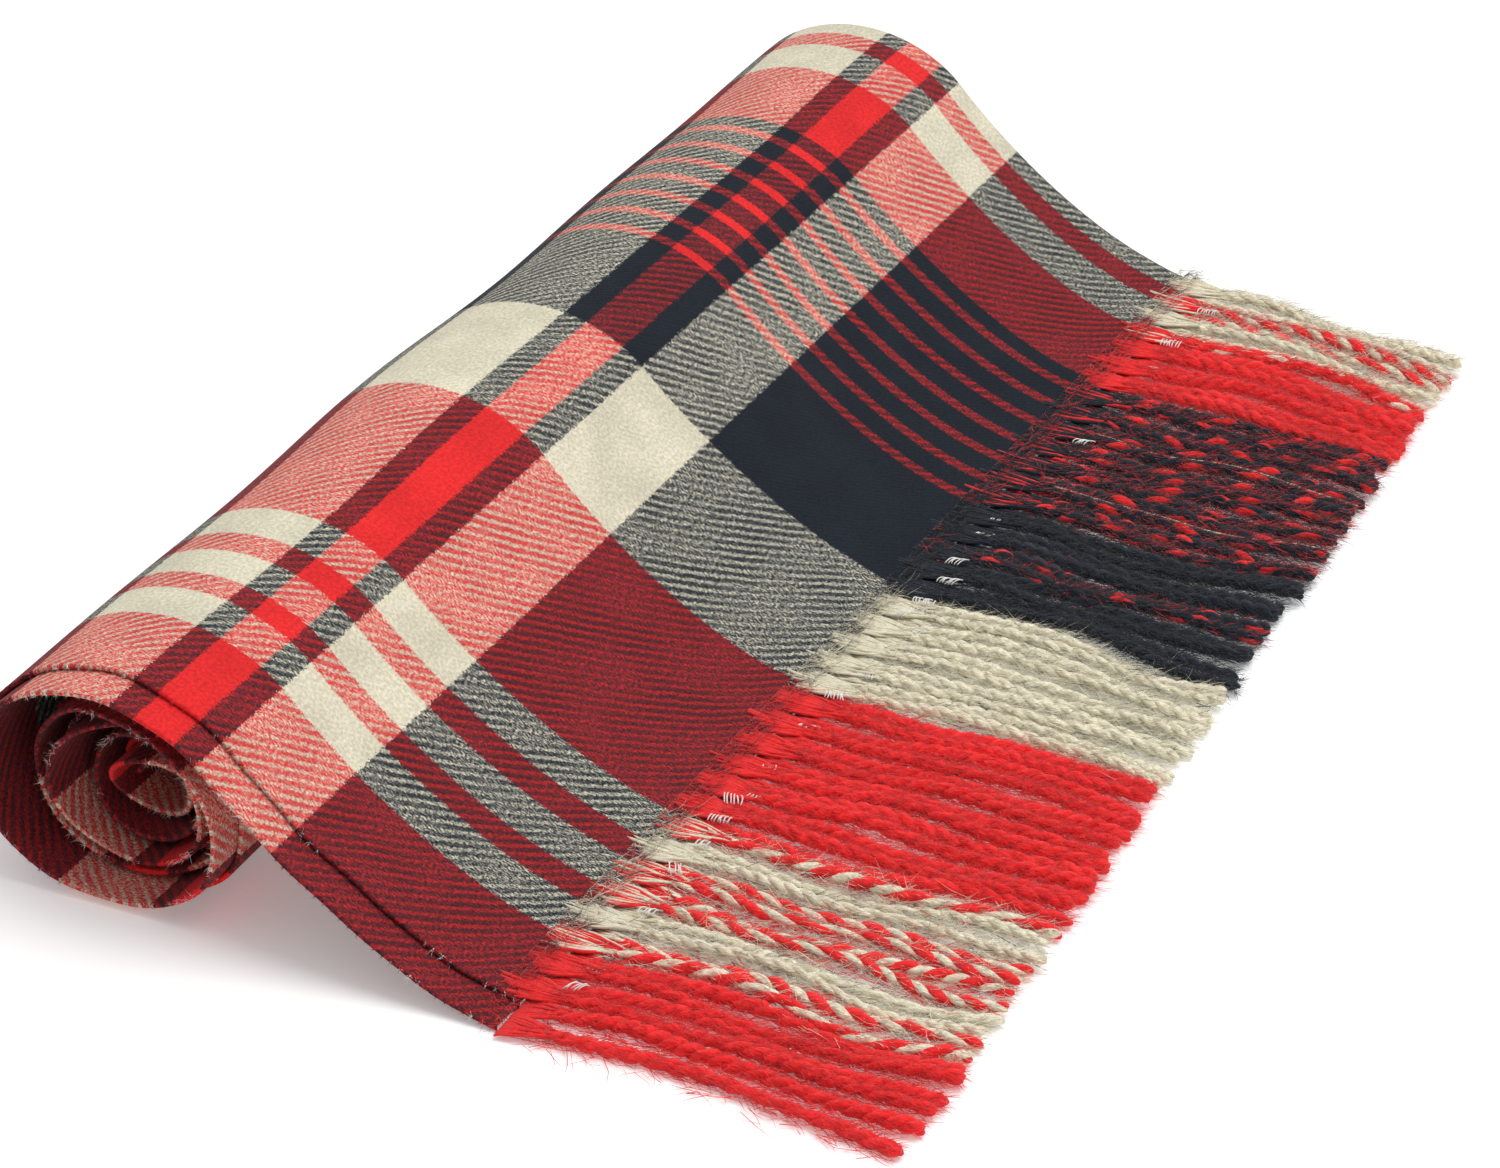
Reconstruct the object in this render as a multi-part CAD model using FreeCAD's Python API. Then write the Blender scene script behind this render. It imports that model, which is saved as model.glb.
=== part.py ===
import FreeCAD, Part
import math
import os

# A woven plaid throw with a twisted fringe, folded in two along its length and then loosely
# rolled up from one fringed end. The other end leaves the top of the roll, drapes to the floor
# and lies there with its fringe spread out. Millimetres.
# +X runs along the roll from the selvedges to the fold, +Y from the free fringe towards the roll,
# +Z is up, and the origin is at the middle of the underside of the whole throw.
# While it is built, x = 0 is the upper selvedge and y = 0 is the free end of the cloth.

# The cloth
throw_width = 1300.0         # selvedge to selvedge, opened out
throw_length = 1380.0        # from one fringe's roots to the other's
leaf_thickness = 2.3         # one layer of the brushed twill
selvedge_step = 16.0         # how far the lower leaf shows past the upper one
leaf_gap = 0.3               # air between the two leaves

# The roll
core_radius = 17.0           # room that the rolled-in fringe takes up in the middle
stack_gap = 0.6              # air between the turns above and below the middle
side_gap = 2.7               # and at its sides, where the weight doesn't press them together
rest_flat = 0.8              # how deep the outermost turn is pressed flat on the floor
steps_per_turn = 24          # places on the winding for each turn

# The free end, where the cloth drapes from the roll to the floor
end_to_roll = 172.6          # from the cloth's end to the middle of the roll
lift_off_slope = 47.0        # degrees, where the cloth leaves the roll
landing_slope = 6.0          # degrees, where the cloth's end meets the floor
lift_off_pull = 30.0         # how far the drape keeps the first slope
landing_pull = 50.0          # how far it keeps the last one
drape_steps = 16             # places along the drape

# The fringe
strand_diameter = 6.8        # a two-ply twisted strand
strand_pitch = 16.9          # from one strand to the next on the same leaf
first_strand = 8.5           # from the upper selvedge to the middle of its first strand
fringe_at_selvedge = 164.0   # reach of the fringe at the selvedges
fringe_at_fold = 135.0       # and at the fold, where it lies less straight
fringe_sweep = 9.0           # degrees that the strands at the fold lean towards the selvedges
straight_share = 0.3         # share of a strand before it bends over to that lean
strand_bend_radius = 250.0
strand_wall = 5.2            # width of a strand's coil inside the roll
coil_eye = 3.0               # radius of the hole in the middle of that coil
fringe_bands = [             # warp stripes from the selvedge on, whose colours the strands take
    ("red_edge", 42.0),
    ("cream_red", 92.0),
    ("red_wide", 108.0),
    ("cream_wide", 86.0),
    ("black_wide", 78.0),
    ("black_red", 119.0),
    ("red_fold", 61.0),
]
last_band = "cream_fold"     # from there to the fold

# The thread that locks the last weft at the strands' roots
lock_thread_diameter = 0.8
lock_thread_room = 1.1       # the cloth stops this far behind the fringe's roots

# Room to move
hinge_gap = 0.3              # between pieces that swing against each other
seat_gap = 0.05              # between pieces that lie against each other

upper_width = (throw_width - selvedge_step) / 2
lower_width = upper_width + selvedge_step
leaf_pair = 2 * leaf_thickness + leaf_gap
stack_pitch = leaf_pair + stack_gap
side_pitch = leaf_pair + side_gap


def polyline_length(points):
    return sum(math.dist(a, b) for a, b in zip(points, points[1:]))


def winding(turns):
    """The line midway between the leaves from where they leave the roll to the inner end."""
    inmost = core_radius + leaf_pair / 2
    oval = (inmost + turns * side_pitch) / (inmost + turns * stack_pitch)
    lift_off = -math.atan(math.tan(math.radians(lift_off_slope)) * oval)
    count = math.ceil(turns * steps_per_turn)
    points = []
    for i in range(count + 1):
        inside = turns * (1 - i / count)
        angle = lift_off + 2 * math.pi * (turns - inside)
        across = (inmost + side_pitch * inside) * math.sin(angle)
        up = (inmost + stack_pitch * inside) * math.cos(angle)
        points.append((across, up))
    return points


def offset(points, distance):
    """The same line moved sideways: to its left, which is outwards, where distance is positive."""
    moved = []
    for i, (y, z) in enumerate(points):
        before = points[max(i - 1, 0)]
        after = points[min(i + 1, len(points) - 1)]
        along = math.dist(before, after)
        step_y = (after[0] - before[0]) / along
        step_z = (after[1] - before[1]) / along
        moved.append((y - step_z * distance, z + step_y * distance))
    return moved


def place_roll(points):
    """Stands the winding on the floor, pressed flat by rest_flat, at its place on the y axis."""
    lowest = min(z for _, z in offset(points, leaf_pair / 2))
    return [(y + end_to_roll, z - lowest - rest_flat) for y, z in points]


def drape(top):
    """The line midway between the leaves from the cloth's end up to the roll."""
    rise = math.radians(lift_off_slope)
    land = math.radians(landing_slope)
    end = (0.0, leaf_pair / 2 * math.cos(land))
    pull_end = (landing_pull * math.cos(land), end[1] + landing_pull * math.sin(land))
    pull_top = (top[0] - lift_off_pull * math.cos(rise), top[1] - lift_off_pull * math.sin(rise))
    points = []
    for i in range(drape_steps + 1):
        t = i / drape_steps
        shares = ((1 - t) ** 3, 3 * t * (1 - t) ** 2, 3 * t * t * (1 - t), t ** 3)
        corners = (end, pull_end, pull_top, top)
        points.append(tuple(sum(s * c[k] for s, c in zip(shares, corners)) for k in (0, 1)))
    return points


def turns_for(length):
    """How many turns of the folded cloth take up its length less the drape."""
    few, many = 0.5, 60.0
    while many - few > 1e-6:
        turns = (few + many) / 2
        coil = place_roll(winding(turns))
        if polyline_length(coil) + polyline_length(drape(coil[0])) < length:
            few = turns
        else:
            many = turns
    return few


def smooth_edge(points):
    curve = Part.BSplineCurve()
    curve.interpolate([FreeCAD.Vector(0, y, z) for y, z in points])
    return curve.toShape()


def straight_edge(a, b):
    return Part.makeLine(FreeCAD.Vector(0, *a), FreeCAD.Vector(0, *b))


def trimmed(points, off_first, off_last):
    """The line without this much of its first and of its last step."""
    share_first = off_first / math.dist(points[0], points[1])
    share_last = off_last / math.dist(points[-1], points[-2])
    first = tuple(a + (b - a) * share_first for a, b in zip(points[0], points[1]))
    last = tuple(a + (b - a) * share_last for a, b in zip(points[-1], points[-2]))
    return [first] + points[1:-1] + [last]


def leaf(stretch, near, far, from_x, to_x):
    """One layer of cloth along a stretch of the line, its faces near and far from the line."""
    first, last, off_first, off_last = stretch
    one = trimmed(offset(line, near)[first:last], off_first, off_last)
    other = trimmed(offset(line, far)[first:last], off_first, off_last)
    edges = [
        smooth_edge(one),
        straight_edge(one[-1], other[-1]),
        smooth_edge(other[::-1]),
        straight_edge(other[0], one[0]),
    ]
    face = Part.Face(Part.Wire(edges))
    face.translate(FreeCAD.Vector(from_x, 0, 0))
    return face.extrude(FreeCAD.Vector(to_x - from_x, 0, 0))


def above_floor(shape):
    box = shape.BoundBox
    corner = FreeCAD.Vector(box.XMin - 1, box.YMin - 1, box.ZMin - 1)
    return shape.cut(Part.makeBox(box.XLength + 2, box.YLength + 2, -corner.z, corner))


def band_at(x):
    edge = 0.0
    for name, width in fringe_bands:
        edge += width
        if x < edge:
            return name
    return last_band


def strand(x):
    """A strand that lies on the floor: straight out of the cloth, then bent over to its lean."""
    share = max(x, 0.0) / upper_width
    reach = fringe_at_selvedge + (fringe_at_fold - fringe_at_selvedge) * share
    lean = math.radians(fringe_sweep) * share ** 2
    radius = strand_diameter / 2
    root = FreeCAD.Vector(x, -hinge_gap, radius)
    bend = FreeCAD.Vector(x, -straight_share * reach, radius)
    tip = FreeCAD.Vector(x - (reach + bend.y) * math.tan(lean), -reach, radius)
    setback = strand_bend_radius * math.tan(lean / 2)
    if setback < 0.05:
        path = Part.Wire([Part.makeLine(root, FreeCAD.Vector(x, -reach, radius))])
    else:
        onward = (tip - bend).normalize()
        start = bend - FreeCAD.Vector(0, -setback, 0)
        finish = bend + onward * setback
        inner = strand_bend_radius * (1 / math.cos(lean / 2) - 1)
        inwards = (onward - FreeCAD.Vector(0, -1, 0)).normalize()
        middle = bend + inwards * inner
        path = Part.Wire([
            Part.makeLine(root, start),
            Part.Arc(start, middle, finish).toShape(),
            Part.makeLine(finish, tip),
        ])
    section = Part.Wire([Part.makeCircle(radius, root, FreeCAD.Vector(0, -1, 0))])
    return path.makePipeShell([section], True, False)


def fringe(name, places):
    """The strands at these places, grouped by the colour of the warp that they are twisted from."""
    groups = {}
    for x in places:
        groups.setdefault(f"{name}_{band_at(x)}", []).append(strand(x))
    return {node: Part.makeCompound(solids) for node, solids in groups.items()}


def coiled_strands(places, centre):
    """The rolled-in strands: each one is wound up to a ring inside the innermost turn."""
    radius = core_radius - leaf_gap - seat_gap
    rings = []
    for x in places:
        corner = FreeCAD.Vector(x - strand_wall / 2, *centre)
        disc = Part.makeCylinder(radius, strand_wall, corner, FreeCAD.Vector(1, 0, 0))
        eye = Part.makeCylinder(coil_eye, strand_wall, corner, FreeCAD.Vector(1, 0, 0))
        rings.append(disc.cut(eye))
    return Part.makeCompound(rings)


def lock_thread(distance, from_x, to_x):
    """A thread along the end of the leaf whose middle is this far from the line of the drape."""
    radius = lock_thread_diameter / 2
    land = math.radians(landing_slope)
    y, z = trimmed(offset(line, distance), lock_thread_room, 0.0)[0]
    away = radius + seat_gap
    start = FreeCAD.Vector(from_x, y - away * math.cos(land), z - away * math.sin(land))
    return Part.makeCylinder(radius, to_x - from_x, start, FreeCAD.Vector(1, 0, 0))


# The line midway between the leaves, from the cloth's free end to the middle of the roll. The
# draped cloth stops short of the lock thread, and of the roll, so that it can swing there.
turns = turns_for(throw_length)
wound = place_roll(winding(turns))
hanging = drape(wound[0])
line = hanging + wound[1:]
lift_off = len(hanging) - 1
draped = (0, lift_off + 1, lock_thread_room, hinge_gap)
rolled = (lift_off, len(line), 0.0, 0.0)
inner_face = leaf_gap / 2
outer_face = inner_face + leaf_thickness

parts = {
    "roll_upper_leaf": above_floor(leaf(rolled, inner_face, outer_face, 0, upper_width)),
    "roll_lower_leaf": leaf(rolled, -inner_face, -outer_face, -selvedge_step, upper_width),
    "drape_upper_leaf": leaf(draped, inner_face, outer_face, 0, upper_width),
    "drape_lower_leaf": leaf(draped, -inner_face, -outer_face, -selvedge_step, upper_width),
}

# The lower leaf's strands lie between the upper leaf's, and one more stands on its step.
strand_count = int((upper_width - first_strand - strand_diameter / 2) / strand_pitch) + 1
upper_places = [first_strand + strand_pitch * i for i in range(strand_count)]
lower_places = [x - strand_pitch / 2 for x in upper_places]
lower_places.insert(0, strand_diameter / 2 - selvedge_step)
parts.update(fringe("fringe_upper", upper_places))
parts.update(fringe("fringe_lower", lower_places))

roll_middle = (
    sum(y for y, _ in wound[-steps_per_turn:]) / steps_per_turn,
    sum(z for _, z in wound[-steps_per_turn:]) / steps_per_turn,
)
parts["core_fringe_upper"] = coiled_strands(upper_places, roll_middle)
parts["core_fringe_lower"] = coiled_strands(lower_places, roll_middle)
leaf_middle = (inner_face + outer_face) / 2
parts["lock_thread_upper"] = lock_thread(leaf_middle, 0, upper_width)
parts["lock_thread_lower"] = lock_thread(-leaf_middle, -selvedge_step, upper_width)

# The origin goes to the middle of the underside.
box = Part.makeCompound(list(parts.values())).optimalBoundingBox(False)
shift = FreeCAD.Vector(-box.Center.x, -box.Center.y, -box.ZMin)
os.makedirs("parts", exist_ok=True)
for node, shape in parts.items():
    shape.translate(shift)
    shape.exportStep(f"parts/{node}.step")

outside = offset(line, outer_face)
lift_off_edge = outside[lift_off]
bottom = min(outside[lift_off:], key=lambda place: place[1])
print(f"{len(parts)} nodes, {turns:.2f} turns, drape {polyline_length(hanging):.1f} long")
print("size", [round(v, 2) for v in (box.XLength, box.YLength, box.ZLength)])
print("shift", [round(v, 3) for v in shift])
print("lift-off edge y z", [round(a + b, 2) for a, b in zip(lift_off_edge, (shift.y, shift.z))])
print("fringe hinge y z", round(shift.y, 2), round(strand_diameter + shift.z, 2))
print("resting strip y", round(bottom[0] + shift.y, 2))
for node, shape in parts.items():
    print(node, shape.isValid(), len(shape.Solids), round(shape.Volume))
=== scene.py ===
import math
import random

import bpy
import numpy as np
from mathutils import Matrix, Vector


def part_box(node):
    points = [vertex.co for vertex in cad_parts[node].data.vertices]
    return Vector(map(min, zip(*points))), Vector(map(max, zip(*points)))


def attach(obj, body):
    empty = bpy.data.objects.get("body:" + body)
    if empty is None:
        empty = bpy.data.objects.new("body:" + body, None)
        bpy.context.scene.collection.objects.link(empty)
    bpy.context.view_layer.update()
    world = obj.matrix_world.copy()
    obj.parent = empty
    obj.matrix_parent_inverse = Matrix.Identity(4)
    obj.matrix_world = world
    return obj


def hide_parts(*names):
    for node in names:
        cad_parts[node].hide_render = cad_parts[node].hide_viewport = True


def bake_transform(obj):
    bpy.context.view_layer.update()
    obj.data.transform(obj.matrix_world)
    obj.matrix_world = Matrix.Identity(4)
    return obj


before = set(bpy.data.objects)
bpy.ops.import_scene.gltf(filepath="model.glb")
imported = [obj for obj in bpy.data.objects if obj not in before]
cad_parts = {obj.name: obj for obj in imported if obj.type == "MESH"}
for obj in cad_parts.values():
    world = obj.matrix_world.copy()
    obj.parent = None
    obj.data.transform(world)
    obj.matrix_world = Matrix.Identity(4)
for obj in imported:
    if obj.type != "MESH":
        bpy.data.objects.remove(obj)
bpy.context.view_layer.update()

# A woven plaid throw, folded in two along its length and loosely rolled up from one end. The
# other end drapes from the roll to the floor, where its twisted fringe lies spread out.
# Metres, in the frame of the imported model: X along the roll, Y from the fringe to the roll, Z up.

# The cloth and its winding, as the model has them
THROW_LENGTH = 1.380
LEAF_THICKNESS = 0.0023
LEAF_GAP = 0.0003
CORE_RADIUS = 0.017
STACK_GAP = 0.0006
SIDE_GAP = 0.0027
REST_FLAT = 0.0008
END_TO_ROLL = 0.1726
LIFT_OFF_SLOPE = math.radians(47.0)
LANDING_SLOPE = math.radians(6.0)
LIFT_OFF_PULL = 0.030
LANDING_PULL = 0.050

# The fringe
STRAND_PITCH = 0.0169
FIRST_STRAND = 0.0085
FRINGE_AT_SELVEDGE = 0.164
FRINGE_AT_FOLD = 0.135
FRINGE_SWEEP = math.radians(9.0)
STRAIGHT_SHARE = 0.3
FRINGE_BANDS = [
    ("red_edge", 0.042),
    ("cream_red", 0.092),
    ("red_wide", 0.108),
    ("cream_wide", 0.086),
    ("black_wide", 0.078),
    ("black_red", 0.119),
    ("red_fold", 0.061),
]
LAST_BAND = "cream_fold"

# Places in the frame
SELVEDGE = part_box("roll_upper_leaf")[0].x
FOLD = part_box("roll_upper_leaf")[1].x
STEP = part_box("roll_lower_leaf")[0].x
CLOTH_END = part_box("fringe_upper_red_wide")[1].y
UPPER_WIDTH = FOLD - SELVEDGE
LOWER_WIDTH = FOLD - STEP
LEAF_PAIR = 2 * LEAF_THICKNESS + LEAF_GAP
STEPS_PER_TURN = 72
FLOOR_CLEAR = 0.0001
DRAPE_STEPS = 40

# Yarn colours as the eye sees them, before they are made linear
RED = (0.880, 0.185, 0.190)
CREAM = (0.855, 0.828, 0.735)
BLACK = (0.135, 0.155, 0.185)
WHITE = (0.93, 0.92, 0.90)
YARNS = {"red": RED, "cream": CREAM, "black": BLACK, "white": WHITE}
DYE_GAMMA = 0.6                    # the yarns' colours blend in this power of those values
EYE_GAMMA = 2.2

# Warp stripes from a selvedge to the fold, by the edge where each ends, and the weft's sett from
# the cloth's end on, which repeats.
WARP = [
    ("red", 0.0423), ("cream", 0.0638), ("red", 0.0772), ("cream", 0.0970), ("red", 0.1120),
    ("cream", 0.1338), ("red", 0.2425), ("cream", 0.3276), ("black", 0.4015),
]
RED_LINES = 7
RED_LINE_WIDTH = 0.0056
RED_LINES_END = 0.531
WARP_AFTER_LINES = [("red", 0.586), ("cream", 0.6132), ("red", 0.628), ("cream", 0.700)]
WEFT = [("black", 0.107), ("cream", 0.149), ("black", 0.160), ("red", 0.178),
        ("black", 0.1885), ("cream", 0.2345)]
THREAD = 0.001475
MOSTLY_WARP = 0.64                 # the share of warp colour where the nap hides the weave
NAP_LEAST = 0.50                   # how much the nap hides the weave, patch by patch
NAP_MOST = 0.86
CONTRAST_DARK = 0.72               # of the two yarns' colours, where their mean is dark or pale
CONTRAST_PALE = 1.25
VALLEY_SHADE = 0.17                # painted shade between threads whose colours are far apart
LOOSENESS = 0.80                   # of the twill's lines
STRIPE_JITTER = 0.0040             # how far a stripe's fibres stray over its edge
TWILL_HEIGHT = 0.00035
STREAK_HEIGHT = 0.00055
YARN_HEIGHT = 0.0006

chance = random.Random(11)
dice = np.random.default_rng(11)


# ---- The line of the cloth, seen along X -------------------------------------------------------

def winding(turns, per_turn):
    """The line midway between the leaves from where they leave the roll to the inner end."""
    inmost = CORE_RADIUS + LEAF_PAIR / 2
    stack_pitch = LEAF_PAIR + STACK_GAP
    side_pitch = LEAF_PAIR + SIDE_GAP
    oval = (inmost + turns * side_pitch) / (inmost + turns * stack_pitch)
    lift_off = -math.atan(math.tan(LIFT_OFF_SLOPE) * oval)
    outside = np.linspace(0, turns, math.ceil(turns * per_turn) + 1)
    inside = turns - outside
    angle = lift_off + 2 * math.pi * outside
    across = (inmost + side_pitch * inside) * np.sin(angle)
    up = (inmost + stack_pitch * inside) * np.cos(angle)
    return np.stack([across, up], axis=1)


def sideways(points):
    """Unit vectors to the left of the line, which is outwards, at each of its points."""
    along = np.gradient(points, axis=0)
    along /= np.linalg.norm(along, axis=1)[:, None]
    return np.stack([-along[:, 1], along[:, 0]], axis=1)


def place_roll(points):
    outer = points + sideways(points) * LEAF_PAIR / 2
    lowest = outer[:, 1].min()
    return points + np.array([CLOTH_END + END_TO_ROLL, -lowest - REST_FLAT])


def drape(top):
    """The line midway between the leaves from the cloth's end up to the roll."""
    end = np.array([CLOTH_END, LEAF_PAIR / 2 * math.cos(LANDING_SLOPE)])
    pull_end = end + LANDING_PULL * np.array([math.cos(LANDING_SLOPE), math.sin(LANDING_SLOPE)])
    pull_top = top - LIFT_OFF_PULL * np.array([math.cos(LIFT_OFF_SLOPE), math.sin(LIFT_OFF_SLOPE)])
    t = np.linspace(0, 1, DRAPE_STEPS + 1)[:, None]
    return ((1 - t) ** 3 * end + 3 * t * (1 - t) ** 2 * pull_end
            + 3 * t ** 2 * (1 - t) * pull_top + t ** 3 * top)


def lengths(points):
    """Distance along the line to each of its points."""
    steps = np.linalg.norm(np.diff(points, axis=0), axis=1)
    return np.concatenate([[0.0], np.cumsum(steps)])


def turns_for(length):
    few, many = 0.5, 60.0
    while many - few > 1e-5:
        turns = (few + many) / 2
        coil = place_roll(winding(turns, 24))
        if lengths(coil)[-1] + lengths(drape(coil[0]))[-1] < length:
            few = turns
        else:
            many = turns
    return few


def ramp(value, low, high):
    """0 below low, 1 above high, smooth between them."""
    t = np.clip((value - low) / (high - low), 0, 1)
    return t * t * (3 - 2 * t)


# The inner turns have settled: their tops have sunk away from the turn above, and they have slid
# towards the draped side.
SUNK_FIRST = 0.0075
SUNK_REST = 0.0095
SLID_FIRST = 0.0100
SLID_REST = 0.0060

turns = turns_for(THROW_LENGTH)
wound = place_roll(winding(turns, STEPS_PER_TURN))
outside_turns = np.linspace(0, turns, len(wound))
middle = wound[-STEPS_PER_TURN:].mean(axis=0)
first_angle = math.atan2(wound[0][0] - middle[0], wound[0][1] - middle[1])
angle_at = first_angle + 2 * math.pi * outside_turns
sunk = SUNK_FIRST * ramp(outside_turns, 0.35, 1.2) + SUNK_REST * ramp(outside_turns, 1.1, 4.6)
slid = SLID_FIRST * ramp(outside_turns, 0.30, 1.0) + SLID_REST * ramp(outside_turns, 1.0, 4.6)
wound[:, 1] -= sunk * (1 + np.cos(angle_at)) / 2
wound[:, 0] -= slid * (1 + np.sin(angle_at)) / 2
hanging = drape(wound[0])
line = np.concatenate([hanging, wound[1:]])
line_side = sideways(line)
line_length = lengths(line)
LIFT_OFF = len(hanging) - 1
turn_at = np.concatenate([np.zeros(LIFT_OFF), outside_turns])


# ---- Meshes --------------------------------------------------------------------------------------

class Piece:
    """Gathers vertices, faces, their finishes and their places on the cloth or along a yarn."""

    def __init__(self):
        self.points = []
        self.places = []
        self.faces = []
        self.finishes = []
        self.count = 0

    def add(self, points, faces, places, finish=0):
        """Adds a shape. finish is one number for all its faces, or one for each."""
        self.points.append(np.asarray(points, float).reshape(-1, 3))
        self.places.append(np.asarray(places, float).reshape(-1, 2))
        self.faces.extend([tuple([i + self.count for i in face]) for face in faces])
        self.finishes.extend(finish if isinstance(finish, list) else [finish] * len(faces))
        self.count += len(self.points[-1])

    def build(self, name, materials):
        mesh = bpy.data.meshes.new(name)
        points = np.concatenate(self.points)
        points[:, 2] = np.maximum(points[:, 2], FLOOR_CLEAR)
        mesh.from_pydata(points.tolist(), [], self.faces)
        for material in materials:
            mesh.materials.append(material)
        mesh.polygons.foreach_set("material_index", np.array(self.finishes, np.int32))
        mesh.polygons.foreach_set("use_smooth", np.ones(len(self.faces), bool))
        corner_points = np.empty(len(mesh.loops), np.int32)
        mesh.loops.foreach_get("vertex_index", corner_points)
        places = np.concatenate(self.places)[corner_points]
        mesh.uv_layers.new(name="place").data.foreach_set("uv", places.astype(np.float32).ravel())
        mesh.update()
        piece = bpy.data.objects.new(name, mesh)
        bpy.context.scene.collection.objects.link(piece)
        return piece


def grid_faces(rows, columns, closed):
    """Quads between the rows of a grid of points, whose columns may close to a ring."""
    last = columns if closed else columns - 1
    return [(r * columns + c, r * columns + (c + 1) % columns,
             (r + 1) * columns + (c + 1) % columns, (r + 1) * columns + c)
            for r in range(rows - 1) for c in range(last)]


def tube(piece, path, radius, sides, finishes=(0,), groove=0.0, lay=0.0):
    """A closed tube along a path, or a ply of yarns laid up round it, each with its own finish."""
    path = np.asarray(path, float)
    along = np.gradient(path, axis=0)
    along /= np.linalg.norm(along, axis=1)[:, None]
    up = np.array([0.0, 0.0, 1.0]) - along * along[:, 2:3]
    if np.linalg.norm(up, axis=1).min() < 0.05:
        up = np.array([1.0, 0.0, 0.0]) - along * along[:, 0:1]
    up /= np.linalg.norm(up, axis=1)[:, None]
    right = np.cross(along, up)
    radii = np.broadcast_to(np.asarray(radius, float), len(path))
    run = lengths(path)
    turn = np.linspace(0, 2 * math.pi, sides, endpoint=False)
    yarns = len(finishes)
    swell = 1 - groove * np.cos(yarns * turn) if yarns > 1 else np.ones(sides)
    turned = turn[None, :] + (run[:, None] * 2 * math.pi / lay if lay else 0.0)
    size = radii[:, None] * swell[None, :]
    points = (path[:, None, :] + up[:, None, :] * (size * np.cos(turned))[:, :, None]
              + right[:, None, :] * (size * np.sin(turned))[:, :, None])
    places = np.stack([np.broadcast_to(turn / (2 * math.pi), (len(path), sides)),
                       np.broadcast_to(run[:, None], (len(path), sides))], axis=2)
    faces = grid_faces(len(path), sides, True)
    looks = [finishes[(side * yarns) // sides]
             for _ in range(len(path) - 1) for side in range(sides)]
    first = tuple(range(sides))[::-1]
    last = tuple((len(path) - 1) * sides + i for i in range(sides))
    piece.add(points, faces + [first, last], places, looks + [finishes[0]] * 2)


def unit(directions):
    return directions / np.linalg.norm(directions, axis=1)[:, None]


# A fibre's root is corners 0 to 2, the ring half way along it 3 to 5, and its tip 6
FIBRE_FACES = [(2, 1, 0), (0, 1, 4, 3), (1, 2, 5, 4), (2, 0, 3, 5), (3, 4, 6), (4, 5, 6),
               (5, 3, 6)]
FIBRE_CORNERS = 7


def fibres(piece, roots, directions, reach, thickness, finishes, bend):
    """Loose wool fibres: slender three-sided spikes that bend over."""
    count = len(roots)
    along = unit(directions)
    off = dice.normal(0, bend, (count, 3))
    reach = reach[:, None]
    half_way = roots + reach * (0.55 * along + 0.12 * off)
    tips = roots + reach * (along + 0.5 * off)
    half_way[:, 2] = np.maximum(half_way[:, 2], 0.0004)
    tips[:, 2] = np.maximum(tips[:, 2], 0.0003)
    side = unit(np.stack([along[:, 1], -along[:, 0], np.full(count, 0.3)], axis=1))
    other = np.cross(along, side)
    thick = thickness[:, None]
    corners = [side * thick, (-0.5 * side + 0.87 * other) * thick,
               (-0.5 * side - 0.87 * other) * thick]
    points = [roots + corner for corner in corners]
    points += [half_way + 0.75 * corner for corner in corners]
    points.append(tips)
    shade = np.repeat(dice.random(count), FIBRE_CORNERS)
    faces = [tuple([i + FIBRE_CORNERS * n for i in face])
             for n in range(count) for face in FIBRE_FACES]
    piece.add(np.stack(points, axis=1), faces, np.stack([shade, shade], axis=1),
              np.repeat(finishes, len(FIBRE_FACES)).tolist())


# ---- Cloth ---------------------------------------------------------------------------------------

OUTER_FACES = 230                  # columns over each outer face
INNER_FACES = 24
ROUND_STEPS = 5
HALF_THICKNESS = 0.00105           # of one leaf as it shows
LEAF_MIDDLE = LEAF_GAP / 2 + LEAF_THICKNESS / 2
DRAWN_IN_FIRST = 0.018             # the inner turns, at the selvedges
DRAWN_IN_REST = 0.014
SCALLOP_DEPTH = 0.0042             # of the cloth's end between two strands
SCALLOP_RUN = 0.010


def ring():
    """One row of the folded cloth as columns: x, distance from the line, and place on the cloth.

    It goes over the upper leaf's outside, round the fold, back along the lower leaf's outside,
    round its selvedge, along the inner faces and round the upper selvedge.
    """
    far = LEAF_MIDDLE + HALF_THICKNESS
    near = LEAF_MIDDLE - HALF_THICKNESS
    fold = FOLD - far
    columns = []
    fine = np.linspace(0, 1, OUTER_FACES) ** 1.25
    coarse = np.linspace(0, 1, INNER_FACES) ** 1.25
    rim = np.linspace(0, math.pi, ROUND_STEPS + 2)[1:-1]
    upper = SELVEDGE + HALF_THICKNESS
    lower = STEP + HALF_THICKNESS
    for share in fine:
        x = upper + (fold - upper) * share
        columns.append((x, far, x - SELVEDGE))
    for turn in rim:
        x = fold + far * math.sin(turn)
        step = (LOWER_WIDTH - UPPER_WIDTH) * turn / math.pi
        columns.append((x, far * math.cos(turn), x - SELVEDGE + step))
    for share in fine[::-1]:
        x = lower + (fold - lower) * share
        columns.append((x, -far, x - STEP))
    for turn in rim:
        x = lower - HALF_THICKNESS * math.sin(turn)
        columns.append((x, -LEAF_MIDDLE - HALF_THICKNESS * math.cos(turn), x - STEP))
    for share in coarse:
        x = lower + (fold - lower) * share
        columns.append((x, -near, x - STEP))
    for share in coarse[::-1]:
        x = upper + (fold - upper) * share
        columns.append((x, near, x - SELVEDGE))
    for turn in rim:
        x = upper - HALF_THICKNESS * math.sin(turn)
        columns.append((x, LEAF_MIDDLE - HALF_THICKNESS * math.cos(turn), x - SELVEDGE))
    return np.array(columns)


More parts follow.
